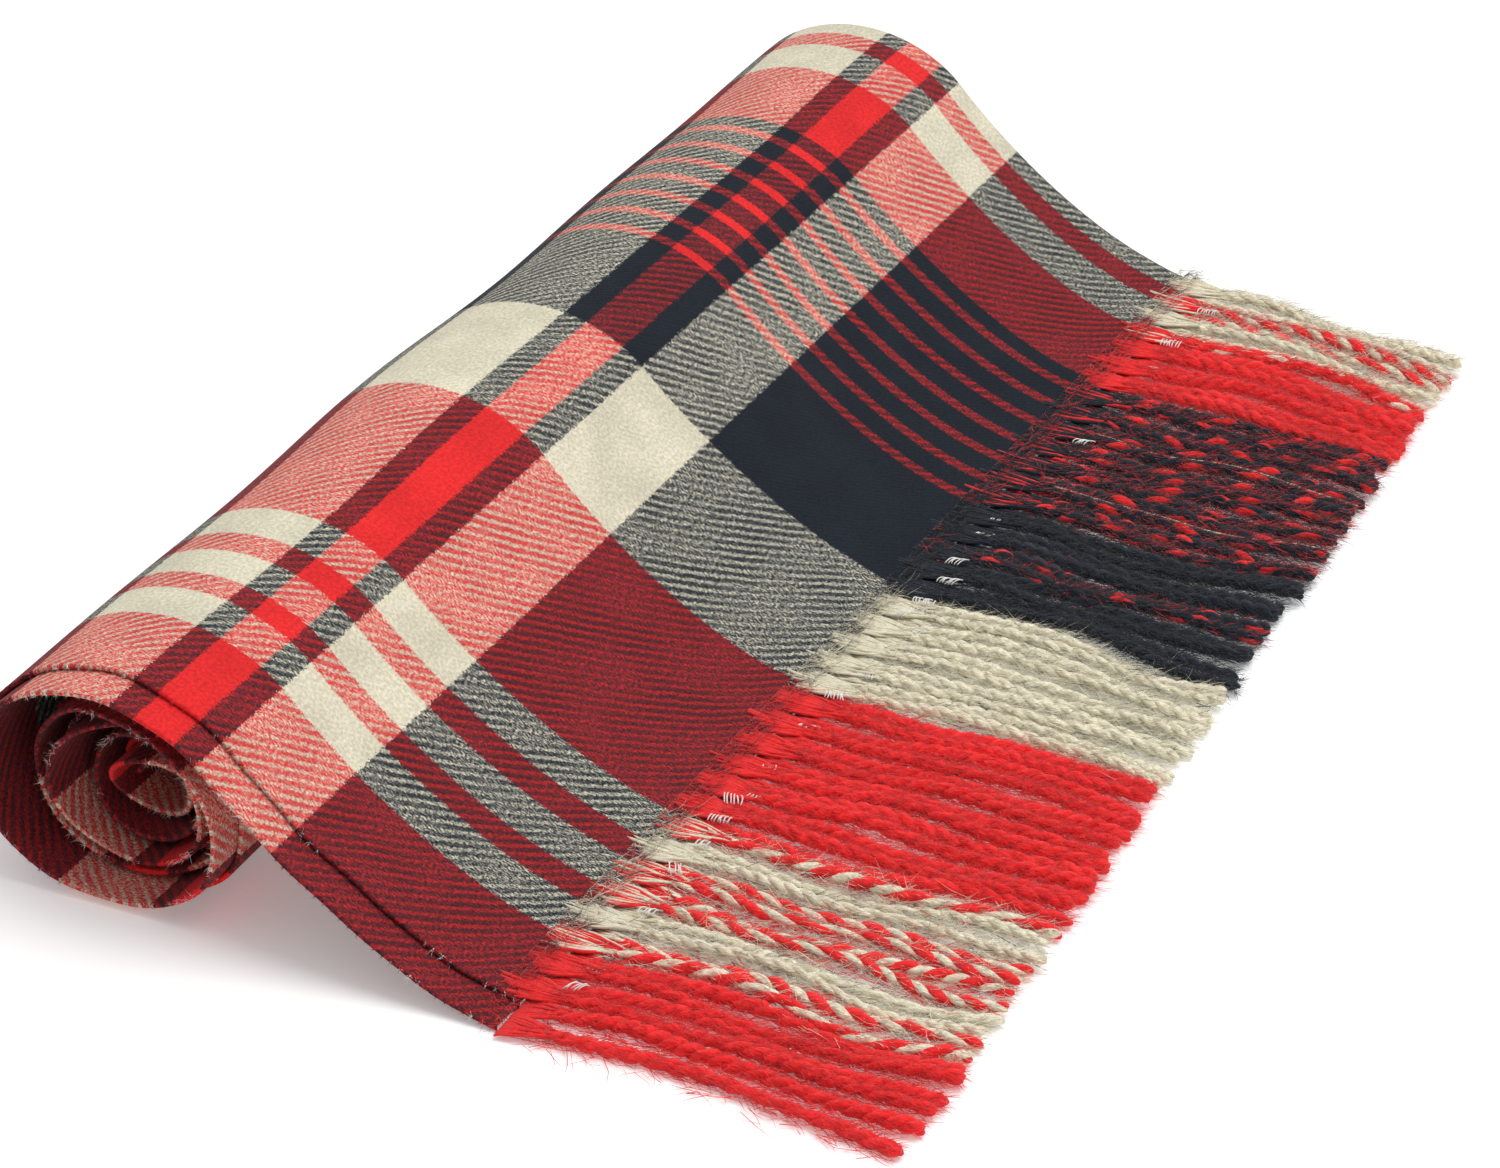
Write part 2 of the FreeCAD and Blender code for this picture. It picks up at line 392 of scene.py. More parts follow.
def ripple(x, run, turn):
    """How far the cloth stands off its line: long soft waves, and small ones at the selvedges."""
    free = ramp(run, 0.0, 0.03)
    outer = 1 - ramp(turn, 0.3, 1.0)
    long_waves = (0.0011 * np.sin(x * 19 + run * 9 + 0.6) + 0.0008 * np.sin(x * 33 - run * 21 + 2.1))
    edge = np.exp(-np.abs(x - SELVEDGE) / 0.03)
    small = 0.0006 * np.sin(run * 95 + 1.3) + 0.0004 * np.sin(run * 171)
    return free * outer * long_waves + edge * small * (0.35 + 0.65 * free)


def shuffle(x, run, turn):
    """How far each turn has slid along the roll: the inner ones are drawn in at the selvedges."""
    near = 1 - ramp(x - SELVEDGE, 0.02, 0.26)
    drawn_in = DRAWN_IN_FIRST * ramp(turn, 0.5, 1.3) + DRAWN_IN_REST * ramp(turn, 2.2, 4.4)
    wander = 0.0046 * np.sin(turn * 4.1 + 0.4) + 0.0030 * np.sin(turn * 9.7 + 1.2)
    return near * (drawn_in + wander * ramp(turn, 0.15, 0.6)) + 0.0012 * np.sin(run * 11)


def scallop(x, off):
    """How far the cloth's end draws back between the strands of its leaf."""
    shift = np.where(off > 0, FIRST_STRAND, FIRST_STRAND - STRAND_PITCH / 2)
    between = np.abs(((x - SELVEDGE - shift) / STRAND_PITCH + 0.5) % 1 - 0.5) * 2
    return SCALLOP_DEPTH * between ** 0.8


def cloth_points():
    columns = ring()
    x = columns[None, :, 0]
    run = line_length[:, None]
    turn = turn_at[:, None]
    off = columns[None, :, 1] + ripple(x, run, turn)
    y = line[:, 0:1] + line_side[:, 0:1] * off
    z = line[:, 1:2] + line_side[:, 1:2] * off
    y = y + scallop(x, columns[None, :, 1]) * (1 - ramp(run, 0.0, SCALLOP_RUN))
    x = x + shuffle(x, run, turn)
    z = np.maximum(z, FLOOR_CLEAR)
    points = np.stack([x, y, z], axis=2)
    places = np.stack([np.broadcast_to(columns[None, :, 2], z.shape),
                       np.broadcast_to(run, z.shape)], axis=2)
    return points, places


def end_cap(columns, row, forward):
    """Closes the end of both leaves, pairing each outer column with the nearest inner one."""
    outer_upper = list(range(OUTER_FACES))
    start_fold = OUTER_FACES
    start_lower = OUTER_FACES + ROUND_STEPS
    start_rim = start_lower + OUTER_FACES
    start_inner = start_rim + ROUND_STEPS
    loop = [row * columns + i for i in range(columns)]
    faces = []
    inner_lower = list(range(start_inner, start_inner + INNER_FACES))
    inner_upper = list(range(start_inner + INNER_FACES, start_inner + 2 * INNER_FACES))[::-1]

    def zip_faces(outer, inner):
        i = j = 0
        while i < len(outer) - 1 or j < len(inner) - 1:
            ahead_outer = (i + 1) / (len(outer) - 1) if i < len(outer) - 1 else 9
            ahead_inner = (j + 1) / (len(inner) - 1) if j < len(inner) - 1 else 9
            if ahead_outer <= ahead_inner:
                faces.append((outer[i], outer[i + 1], inner[j]))
                i += 1
            else:
                faces.append((outer[i], inner[j + 1], inner[j]))
                j += 1

    zip_faces(outer_upper, inner_upper)
    lower = list(range(start_lower, start_rim))[::-1]
    zip_faces(lower, inner_lower)
    faces.append(tuple([OUTER_FACES - 1] + list(range(start_fold, start_lower + 1))
                       + [inner_lower[-1], inner_upper[-1]]))
    faces.append(tuple([start_rim - 1] + list(range(start_rim, start_inner + 1))))
    faces.append(tuple([inner_upper[0]] + list(range(columns - ROUND_STEPS, columns)) + [0]))
    return [tuple(loop[i] for i in (face if forward else face[::-1])) for face in faces]


def cloth(name, first, last, normals, points, places, material):
    """The folded cloth between two rows, shaded with the normals of the whole cloth."""
    rows = last - first
    columns = points.shape[1]
    piece = Piece()
    faces = grid_faces(rows, columns, True)
    faces += end_cap(columns, 0, True) + end_cap(columns, rows - 1, False)
    piece.add(points[first:last], faces, places[first:last])
    made = piece.build(name, [material])
    made.data.normals_split_custom_set_from_vertices(normals[first:last].reshape(-1, 3).tolist())
    return made


def grid_normals(points):
    """Outward unit normals of the ring of columns at every row."""
    along = np.gradient(points, axis=0)
    round_it = np.roll(points, -1, axis=1) - np.roll(points, 1, axis=1)
    normals = np.cross(round_it, along)
    size = np.linalg.norm(normals, axis=2)[:, :, None]
    return normals / np.maximum(size, 1e-12)


# ---- Finishes ------------------------------------------------------------------------------------

def place(tree, kind, inputs=None, **settings):
    node = tree.nodes.new(kind)
    for name, value in settings.items():
        setattr(node, name, value)
    for key, value in (inputs or {}).items():
        if isinstance(value, bpy.types.NodeSocket):
            tree.links.new(value, node.inputs[key])
        else:
            node.inputs[key].default_value = value
    return node


def maths(tree, operation, *values, clamp=False):
    node = place(tree, "ShaderNodeMath", dict(enumerate(values)), operation=operation,
                 use_clamp=clamp)
    return node.outputs[0]


def mixed(tree, share, first, second, how="MIX"):
    node = place(tree, "ShaderNodeMix", {0: share, 6: first, 7: second}, data_type="RGBA",
                 blend_type=how)
    return node.outputs[2]


def noise(tree, vector, scale, detail=2.0, roughness=0.5):
    inputs = {"Vector": vector, "Scale": scale, "Detail": detail, "Roughness": roughness}
    return place(tree, "ShaderNodeTexNoise", inputs).outputs["Fac"]


def spread(tree, value, low, high, to_low=0.0, to_high=1.0):
    """Maps low..high smoothly to to_low..to_high."""
    inputs = {"Value": value, "From Min": low, "From Max": high, "To Min": to_low,
              "To Max": to_high}
    return place(tree, "ShaderNodeMapRange", inputs, interpolation_type="SMOOTHSTEP").outputs[0]


def new_group(name, inputs, outputs):
    tree = bpy.data.node_groups.new(name, "ShaderNodeTree")
    for label, kind, value in inputs:
        socket = tree.interface.new_socket(label, in_out="INPUT", socket_type="NodeSocket" + kind)
        socket.default_value = value
    for label, kind in outputs:
        tree.interface.new_socket(label, in_out="OUTPUT", socket_type="NodeSocket" + kind)
    start = tree.nodes.new("NodeGroupInput")
    end = tree.nodes.new("NodeGroupOutput")
    return tree, start.outputs, end.inputs


def new_material(name):
    """A material with an empty tree, and the tree."""
    material = bpy.data.materials.new(name)
    material.use_nodes = True
    material.node_tree.nodes.clear()
    return material, material.node_tree


def woollen(tree, colour, height, bump_strength, looks):
    """Ends a material's tree: a soft surface of this blended colour, with this relief."""
    linear = place(tree, "ShaderNodeGamma", {"Color": colour, "Gamma": EYE_GAMMA / DYE_GAMMA})
    bump = place(tree, "ShaderNodeBump",
                 {"Height": height, "Strength": bump_strength, "Distance": 1.0})
    shader = place(tree, "ShaderNodeBsdfPrincipled", {
        "Base Color": linear.outputs[0], "Normal": bump.outputs[0], "Sheen Roughness": 0.5, **looks})
    out = place(tree, "ShaderNodeOutputMaterial")
    tree.links.new(shader.outputs[0], out.inputs[0])


def dyed(yarn_name):
    return (*[channel ** DYE_GAMMA for channel in YARNS[yarn_name]], 1.0)


def warp_stripes():
    """Every warp stripe from the selvedge to the fold as (yarn, edge where it ends)."""
    stripes = list(WARP)
    start = stripes[-1][1]
    pitch = (RED_LINES_END - start) / RED_LINES
    for i in range(RED_LINES):
        middle = start + pitch * (i + 0.5) - pitch * 0.18
        stripes.append(("black", middle - RED_LINE_WIDTH / 2))
        stripes.append(("red", middle + RED_LINE_WIDTH / 2))
    stripes.append(("black", RED_LINES_END))
    return stripes + WARP_AFTER_LINES


def stripe_group(name, stripes):
    """Group: the yarn's colour at a distance across the stripes."""
    tree, given, result = new_group(name, [("Across", "Float", 0.0)], [("Colour", "Color")])
    colour = dyed(stripes[0][0])
    for (_, edge), (yarn_name, _) in zip(stripes, stripes[1:]):
        past = maths(tree, "GREATER_THAN", given["Across"], edge)
        colour = mixed(tree, past, colour, dyed(yarn_name))
    tree.links.new(colour, result["Colour"])
    return tree


def twill_group():
    """Group: a two-and-two twill. Where the warp is on top, and the relief of the threads."""
    tree, given, result = new_group(
        "twill weave",
        [("Place", "Vector", (0, 0, 0)), ("Thread", "Float", THREAD), ("Looseness", "Float", 0.1)],
        [("Warp on top", "Float"), ("Relief", "Float")])
    split = place(tree, "ShaderNodeSeparateXYZ", {0: given["Place"]})
    across = maths(tree, "DIVIDE", split.outputs[0], given["Thread"])
    along = maths(tree, "DIVIDE", split.outputs[1], given["Thread"])
    stray = maths(tree, "SUBTRACT", noise(tree, given["Place"], 900.0, 2.0, 0.6), 0.5)
    drift = maths(tree, "SUBTRACT", noise(tree, given["Place"], 90.0, 2.0), 0.5)
    wale = maths(tree, "MULTIPLY", maths(tree, "ADD", across, along), 0.25)
    wale = maths(tree, "MULTIPLY_ADD", stray, given["Looseness"], wale)
    wale = maths(tree, "MULTIPLY_ADD", drift, 0.35, wale)
    share = maths(tree, "MULTIPLY", maths(tree, "PINGPONG", wale, 0.5), 2.0)
    on_top = spread(tree, share, 0.30, 0.70)
    tree.links.new(on_top, result["Warp on top"])
    warp_round = maths(tree, "PINGPONG", across, 0.5)
    weft_round = maths(tree, "PINGPONG", along, 0.5)
    warp_share = maths(tree, "MULTIPLY", warp_round, on_top)
    weft_share = maths(tree, "MULTIPLY", weft_round, maths(tree, "SUBTRACT", 1.0, on_top))
    rounds = maths(tree, "MULTIPLY", maths(tree, "ADD", warp_share, weft_share), 2.0)
    edges = maths(tree, "ABSOLUTE", maths(tree, "MULTIPLY_ADD", on_top, 2.0, -1.0))
    relief = maths(tree, "MULTIPLY_ADD", edges, 0.7, maths(tree, "MULTIPLY", rounds, 0.5))
    tree.links.new(relief, result["Relief"])
    return tree


def plaid_twill(twill, warp, weft):
    """Brushed wool-like twill: the plaid from both threads' stripes, softened by its nap, with painted
    shade in the valleys between threads.
    """
    material, tree = new_material("plaid twill")
    spot = place(tree, "ShaderNodeUVMap", uv_map="place").outputs[0]
    scatter = place(tree, "ShaderNodeTexNoise", {"Vector": spot, "Scale": 1300.0, "Detail": 2.0})
    off_centre = place(tree, "ShaderNodeVectorMath", {0: scatter.outputs["Color"],
                                                      1: (0.5, 0.5, 0.5)}, operation="SUBTRACT")
    jitter = place(tree, "ShaderNodeVectorMath",
                   {0: off_centre.outputs[0], "Scale": STRIPE_JITTER}, operation="SCALE")
    loose = place(tree, "ShaderNodeVectorMath", {0: spot, 1: jitter.outputs[0]}, operation="ADD")
    weave = place(tree, "ShaderNodeGroup", {}, node_tree=twill)
    tree.links.new(spot, weave.inputs["Place"])
    weave.inputs["Thread"].default_value = THREAD
    weave.inputs["Looseness"].default_value = LOOSENESS
    split = place(tree, "ShaderNodeSeparateXYZ", {0: loose.outputs[0]})
    warp_colour = place(tree, "ShaderNodeGroup", {}, node_tree=warp)
    tree.links.new(split.outputs[0], warp_colour.inputs["Across"])
    weft_colour = place(tree, "ShaderNodeGroup", {}, node_tree=weft)
    sett = maths(tree, "FLOORED_MODULO", split.outputs[1], WEFT[-1][1])
    tree.links.new(sett, weft_colour.inputs["Across"])
    drawn = place(tree, "ShaderNodeMapping", {"Vector": spot, "Rotation": (0, 0, 0.7),
                                              "Scale": (1.0, 0.40, 1.0)}).outputs[0]
    streak = noise(tree, drawn, 1500.0, 3.0, 0.75)
    patch = noise(tree, spot, 38.0, 3.0)
    stray_fibres = spread(tree, streak, 0.38, 0.62)
    both = mixed(tree, 0.5, weft_colour.outputs[0], warp_colour.outputs[0])
    green = place(tree, "ShaderNodeSeparateColor", {0: both}).outputs[1]
    contrast = spread(tree, green, 0.40, 0.60, CONTRAST_DARK, CONTRAST_PALE)
    apart = place(tree, "ShaderNodeVectorMath", {0: weft_colour.outputs[0],
                                                 1: warp_colour.outputs[0]}, operation="DISTANCE")
    nap = spread(tree, patch, 0.32, 0.68, NAP_LEAST, NAP_MOST)
    weave_share = maths(tree, "MULTIPLY", weave.outputs["Warp on top"],
                        maths(tree, "SUBTRACT", 1.0, nap))
    share = maths(tree, "MULTIPLY_ADD", stray_fibres, nap, weave_share)
    share = maths(tree, "MULTIPLY_ADD", maths(tree, "SUBTRACT", share, MOSTLY_WARP),
                  contrast, MOSTLY_WARP, clamp=True)
    colour = mixed(tree, share, weft_colour.outputs[0], warp_colour.outputs[0])
    grain = noise(tree, spot, 620.0, 2.0, 0.6)
    light = maths(tree, "MULTIPLY", spread(tree, grain, 0.30, 0.70, 0.95, 1.03),
                  spread(tree, patch, 0.3, 0.7, 0.97, 1.02))
    # Painted shade: the colour is darkened in the valleys between threads, most where the two yarns'
    # colours are far apart
    valley = spread(tree, weave.outputs["Relief"], 0.1, 1.0, VALLEY_SHADE, 0.0)
    painted_valley_shade = maths(tree, "SUBTRACT", 1.01, maths(tree, "MULTIPLY", valley, apart.outputs["Value"]))
    light = maths(tree, "MULTIPLY", light, painted_valley_shade)
    tint = place(tree, "ShaderNodeCombineColor", {0: light, 1: light, 2: light}).outputs[0]
    colour = mixed(tree, 1.0, colour, tint, "MULTIPLY")
    relief = maths(tree, "MULTIPLY_ADD", weave.outputs["Relief"], TWILL_HEIGHT,
                   maths(tree, "MULTIPLY", streak, STREAK_HEIGHT))
    woollen(tree, colour, relief, 0.6,
            {"Roughness": 0.95, "Specular IOR Level": 0.10, "Sheen Weight": 0.06})
    return material


def wool_group():
    """Group: yarn with its fibres drawn along it. Its shade over them, and their relief."""
    tree, given, result = new_group(
        "wool fibres", [("Place", "Vector", (0, 0, 0)), ("Colour", "Color", (1, 1, 1, 1))],
        [("Colour", "Color"), ("Relief", "Float")])
    drawn = place(tree, "ShaderNodeMapping", {"Vector": given["Place"],
                                              "Scale": (22.0, 330.0, 1.0)}).outputs[0]
    hair = noise(tree, drawn, 1.0, 3.0, 0.7)
    blotch = noise(tree, given["Place"], 120.0, 2.0)
    shade = maths(tree, "MULTIPLY", spread(tree, hair, 0.30, 0.70, 0.95, 1.15),
                  spread(tree, blotch, 0.25, 0.75, 0.96, 1.04))
    tint = place(tree, "ShaderNodeCombineColor", {0: shade, 1: shade, 2: shade}).outputs[0]
    tree.links.new(mixed(tree, 1.0, given["Colour"], tint, "MULTIPLY"), result["Colour"])
    tree.links.new(hair, result["Relief"])
    return tree


def yarn(yarn_name, group):
    material, tree = new_material(f"{yarn_name} wool")
    spot = place(tree, "ShaderNodeUVMap", uv_map="place").outputs[0]
    wool = place(tree, "ShaderNodeGroup", {}, node_tree=group)
    tree.links.new(spot, wool.inputs["Place"])
    wool.inputs["Colour"].default_value = dyed(yarn_name)
    height = maths(tree, "MULTIPLY", wool.outputs["Relief"], YARN_HEIGHT)
    woollen(tree, wool.outputs["Colour"], height, 0.7,
            {"Roughness": 0.9, "Specular IOR Level": 0.12, "Sheen Weight": 0.22})
    return material


# ---- Fringe --------------------------------------------------------------------------------------

FINISHES = ["red", "cream", "black", "white"]
RED_YARN, CREAM_YARN, BLACK_YARN, WHITE_THREAD = range(4)
PLY_RADIUS = {"red": 0.00200, "cream": 0.00162, "black": 0.00195}
PLY_LAY = 0.0170                   # a ply's full turn
YARN_LAY = 0.0340                  # a yarn's full turn in its ply, laid up the other way
FAN_LENGTH = 0.016                 # the warp ends gather into a strand over this
FAN_YARNS = 18
RING_STEP = 0.0014
FUZZ_SPACING = 0.00022             # between the fibres at a selvedge
CORE_FRINGE_START = 0.090          # the rolled-in strands, past the lower selvedge
# Loose fibres of one strand, and those at its root and beside it, by the leaf's level
NAP_FIBRES = 1300
STANDING_FIBRES = 500
LYING_FIBRES = 600
LYING_FIBRES_BY_CREAM = 900
CREAM_FUZZ = 0.40                  # of the others' nap
LOWER_FUZZ = 0.5
ROOT_FIBRES = {1: 170, -1: 40}
GAP_FIBRES = {1: 90, -1: 30}
GAP_DARK_SHARE = 0.6
STITCHED_SHARE = 0.42              # of the gaps between strands


def band_at(across):
    edge = 0.0
    for name, width in FRINGE_BANDS:
        edge += width
        if across < edge:
            return name
    return LAST_BAND


def ply_yarns(band, number):
    """The yarns of each of the two plies of a strand, counted along its band."""
    red, cream, black = [RED_YARN] * 4, [CREAM_YARN] * 4, [BLACK_YARN] * 4
    if band == "cream_red":
        return (cream, cream) if number % 3 == 1 else (red, cream)
    if band == "black_red":
        return ([BLACK_YARN, RED_YARN, RED_YARN, BLACK_YARN, BLACK_YARN], black)
    if band == "black_wide" and number == 2:
        return ([BLACK_YARN, RED_YARN, BLACK_YARN, BLACK_YARN], black)
    if band == "cream_fold":
        return (cream, cream) if number % 2 == 0 else (cream, red)
    if band == "red_fold" and number == 3:
        return (red, [RED_YARN, CREAM_YARN, RED_YARN, RED_YARN])
    both = {"red": red, "cream": cream, "black": black}[band.split("_")[0]]
    return (both, both)


def strand_line(across, level):
    """The middle of a strand from the cloth's edge to its tip, lying in soft bends."""
    share = max(across, 0.0) / UPPER_WIDTH
    reach = FRINGE_AT_SELVEDGE + (FRINGE_AT_FOLD - FRINGE_AT_SELVEDGE) * share
    reach += chance.uniform(-0.003, 0.002)
    lean = FRINGE_SWEEP * share ** 2
    run = np.linspace(0, reach, int(reach / RING_STEP) + 1)
    over = np.maximum(run - STRAIGHT_SHARE * reach * 0.6, 0.0)
    sweep = over ** 2 / (over + 0.03) * math.tan(lean)
    free = ramp(run, 0.004, 0.06)
    phase = [chance.uniform(0, 2 * math.pi) for _ in range(4)]
    shared = 0.0032 * np.sin(run * 34 + across * 21) + 0.0018 * np.sin(run * 57 - across * 47)
    own = 0.0022 * np.sin(run * 37 + phase[0]) + 0.0011 * np.sin(run * 90 + phase[1])
    x = SELVEDGE + across - sweep + (shared + own) * free
    y = CLOTH_END - run * math.cos(lean * 0.4)
    root = 0.0024 + level * LEAF_MIDDLE
    lift = 0.0031 + max(level, 0) * 0.0014 + 0.0010 * np.sin(run * 52 + phase[2]) * free
    z = root + (lift - root) * ramp(run, 0.0, 0.03)
    z = np.maximum(z, 0.0029 * ramp(run, 0.0, 0.02))
    return np.stack([x, y, z], axis=1), run


def strand(piece, line_run, plies, start_turn, hand):
    """Two plies twisted round each other, each of four yarns. hand is 1 or -1, the twist's way."""
    middle, run = line_run
    kept = run > FAN_LENGTH * 0.45
    path = middle[kept]
    length = run[kept]
    gathered = 0.55 + 0.45 * ramp(length, FAN_LENGTH * 0.45, FAN_LENGTH * 1.6)
    size = chance.uniform(0.90, 1.10)
    lay = PLY_LAY * chance.uniform(0.85, 1.25)
    loosen = 1 + 0.10 * np.sin(length * 63 + start_turn)
    winding_turn = hand * 2 * math.pi * (length / lay + 0.20 * np.sin(length * 50 + start_turn))
    for ply, yarns in enumerate(plies):
        radius = PLY_RADIUS[FINISHES[yarns[0]]] * size * gathered * loosen
        offset = 0.52 * radius
        turn = start_turn + ply * math.pi + winding_turn
        centre = path + np.stack([offset * np.cos(turn), np.zeros_like(turn),
                                  offset * np.sin(turn)], axis=1)
        radius[-3:] *= np.array([0.95, 0.8, 0.4])
        tube(piece, centre, radius, 16, yarns, groove=0.05, lay=-hand * YARN_LAY)


def surface_point(x, back, level):
    """A point on a leaf's upper side, this far back from the cloth's end."""
    index = int(np.searchsorted(line_length, max(back, 0.0)))
    off = LEAF_MIDDLE * level + HALF_THICKNESS + 0.0002
    y, z = line[index] + line_side[index] * off
    return np.array([x, y, z])


def warp_fan(piece, line_run, across, level, plies):
    """The warp ends that leave the cloth side by side and gather into a strand."""
    middle, run = line_run
    for i in range(FAN_YARNS):
        side = (i + 0.5) / FAN_YARNS - 0.5
        finish = plies[i % 2][i % 4]
        back = 0.0 if level < 0 else chance.uniform(0.003, 0.0150) * (1 - 1.6 * abs(side))
        x = SELVEDGE + across + side * STRAND_PITCH * 0.95
        start = surface_point(x, back, level)
        start[2] -= 0.0006
        edge = surface_point(x - side * 0.002, 0.0, level) + np.array([0.0, -0.0015, 0.0003])
        index = int(np.searchsorted(run, FAN_LENGTH * chance.uniform(0.75, 1.3)))
        goal = middle[index] + np.array([side * 0.0036, 0.0, chance.uniform(-0.0008, 0.0018)])
        pull = edge * 0.45 + goal * 0.55 + np.array([side * 0.0035, 0.001, 0.0004])
        t = np.linspace(0, 1, 9)[:, None]
        path = ((1 - t) ** 3 * start + 3 * t * (1 - t) ** 2 * edge
                + 3 * t ** 2 * (1 - t) * pull + t ** 3 * goal)
        path[:, 0] += 0.00025 * np.sin(t[:, 0] * 9 + i)
        tube(piece, path, chance.uniform(0.00050, 0.00085), 6, (finish,))


def loose_yarns(band, plies):
    """The yarns that loose fibres come from: those of the strand, and some from its neighbours."""
    if band == "black_red":
        return plies[0] + plies[1] + [RED_YARN]
    if band.startswith("cream"):
        return 2 * (plies[0] + plies[1]) + [BLACK_YARN, WHITE_THREAD]
    return plies[0] + plies[1]


def yarn_of(loose, count):
    """The yarn each loose fibre comes from."""
    return np.array(loose)[dice.integers(0, len(loose), count)]


def strand_fuzz(piece, middle, loose, nap, standing, lying):
    """Loose fibres: a nap along a strand, short ones that stand off it, long ones beside it."""
    at = dice.integers(6, len(middle) - 1, nap)
    turn = dice.uniform(-0.7, math.pi + 0.7, nap)
    radial = np.stack([np.cos(turn), np.zeros(nap), np.sin(turn)], axis=1)
    out = 0.42 * radial + np.stack([dice.normal(0, 0.4, nap), -np.ones(nap), np.zeros(nap)],
                                   axis=1)
    fibres(piece, middle[at] + 0.0025 * radial, out, dice.uniform(0.003, 0.008, nap),
           dice.uniform(0.00006, 0.00013, nap), yarn_of(loose, nap), 0.35)
    at = dice.integers(6, len(middle) - 1, standing)
    turn = dice.uniform(-0.5, math.pi + 0.5, standing)
    radial = np.stack([np.cos(turn), np.zeros(standing), np.sin(turn)], axis=1)
    lean = np.zeros((standing, 3))
    lean[:, 1] = dice.uniform(-1.6, 1.0, standing)
    fibres(piece, middle[at] + 0.0024 * radial, radial + lean,
           dice.uniform(0.0015, 0.0045, standing), dice.uniform(0.00006, 0.00011, standing),
           yarn_of(loose, standing), 0.9)
    at = dice.integers(8, len(middle) - 6, lying)
    low = middle[at] + np.stack([dice.normal(0, 0.0040, lying), np.zeros(lying),
                                 dice.uniform(-0.0030, 0.0004, lying)], axis=1)
    low[:, 2] = np.maximum(low[:, 2], 0.0008)
    out = np.stack([dice.normal(0, 0.5, lying), dice.choice([-1.0, -1.0, 1.0], lying),
                    dice.normal(0, 0.08, lying)], axis=1)
    fibres(piece, low, out, dice.uniform(0.005, 0.016, lying),
           dice.uniform(0.00009, 0.00020, lying), yarn_of(loose, lying), 0.5)


def root_fuzz(piece, middle, level, loose, dark_share, number):
    """Fibres that stand out of the cloth's end: dark weft ones and those of the warp ends."""
    x = middle + STRAND_PITCH * dice.normal(0, 0.22, number)
    roots = np.array([surface_point(each, dice.uniform(0.0, 0.009), level) for each in x])
    out = np.stack([dice.normal(0, 0.6, number), -dice.uniform(0.3, 1.2, number),
                    dice.uniform(-0.2, 0.35, number)], axis=1)
    dark = dice.random(number) < dark_share
    fibres(piece, roots, out, dice.uniform(0.002, 0.010, number),
           dice.uniform(0.00007, 0.00014, number),
           np.where(dark, BLACK_YARN, yarn_of(loose, number)), 0.9)


def lock_stitches(piece, across, level):
    """A few turns of fine white thread over the warp ends between two strands."""
    x = SELVEDGE + across + STRAND_PITCH * chance.uniform(0.30, 0.70)
    start = CLOTH_END - chance.uniform(0.005, 0.014)
    half = chance.uniform(0.0020, 0.0032)
    slant = chance.uniform(-0.0018, 0.0018)
    for i in range(chance.randrange(4, 8)):
        t = np.linspace(-1, 1, 7)
        height = 0.0056 + 0.0012 * level + 0.0012 * (1 - t ** 2)
        loop = 0.0009 * (1 - t ** 2) * chance.uniform(-1, 1)
        path = np.stack([x + half * chance.uniform(0.8, 1.2) * t + 0.0002 * i,
                         start - 0.0013 * i + slant * t + loop, height], axis=1)
        tube(piece, path, 0.00028, 5, (WHITE_THREAD,))


def fringe(leaf, level, places_across, finishes):
    """The strands of one leaf, a piece for each warp stripe, and the stitches at their roots."""
    bands = {}
    for across in places_across:
        bands.setdefault(band_at(across), []).append(across)
    made = []
    for band, members in bands.items():
        piece = Piece()
        for number, across in enumerate(members):
            plies = ply_yarns(band, number)
            line_run = strand_line(across, level)
            hand = 1 if chance.random() < 0.5 else -1
            strand(piece, line_run, plies, chance.uniform(0, 2 * math.pi), hand)
            warp_fan(piece, line_run, across, level, plies)
            loose = loose_yarns(band, plies)
            woolly = CREAM_FUZZ if plies[1][0] == CREAM_YARN else 1.0
            share = woolly if level > 0 else LOWER_FUZZ * woolly
            lying = LYING_FIBRES_BY_CREAM if woolly < 1 else LYING_FIBRES
            strand_fuzz(piece, line_run[0], loose, int(NAP_FIBRES * share),
                        int(STANDING_FIBRES * share), lying)
            if band == "black_red" and level > 0 and number % 3 == 1:
                stray = line_run[0][6:] + np.array([0.0040, 0.0, 0.0008])
                tube(piece, stray, 0.00045, 6, (CREAM_YARN,))
            middle = SELVEDGE + across
            root_fuzz(piece, middle, level, loose, 0.0, ROOT_FIBRES[level])
            root_fuzz(piece, middle + STRAND_PITCH / 2, level, loose, GAP_DARK_SHARE,
                      GAP_FIBRES[level])
        made.append(piece.build(f"{leaf}_fringe_{band}", finishes))
        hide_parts(f"fringe_{leaf}_{band}")
    stitches = Piece()
    for across in places_across[:-1]:
        if chance.random() < STITCHED_SHARE:
            lock_stitches(stitches, across, level)
    made.append(stitches.build(f"{leaf}_lock_stitches", finishes))
    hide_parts(f"lock_thread_{leaf}")
    for piece in made:
        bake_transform(piece)
    return made


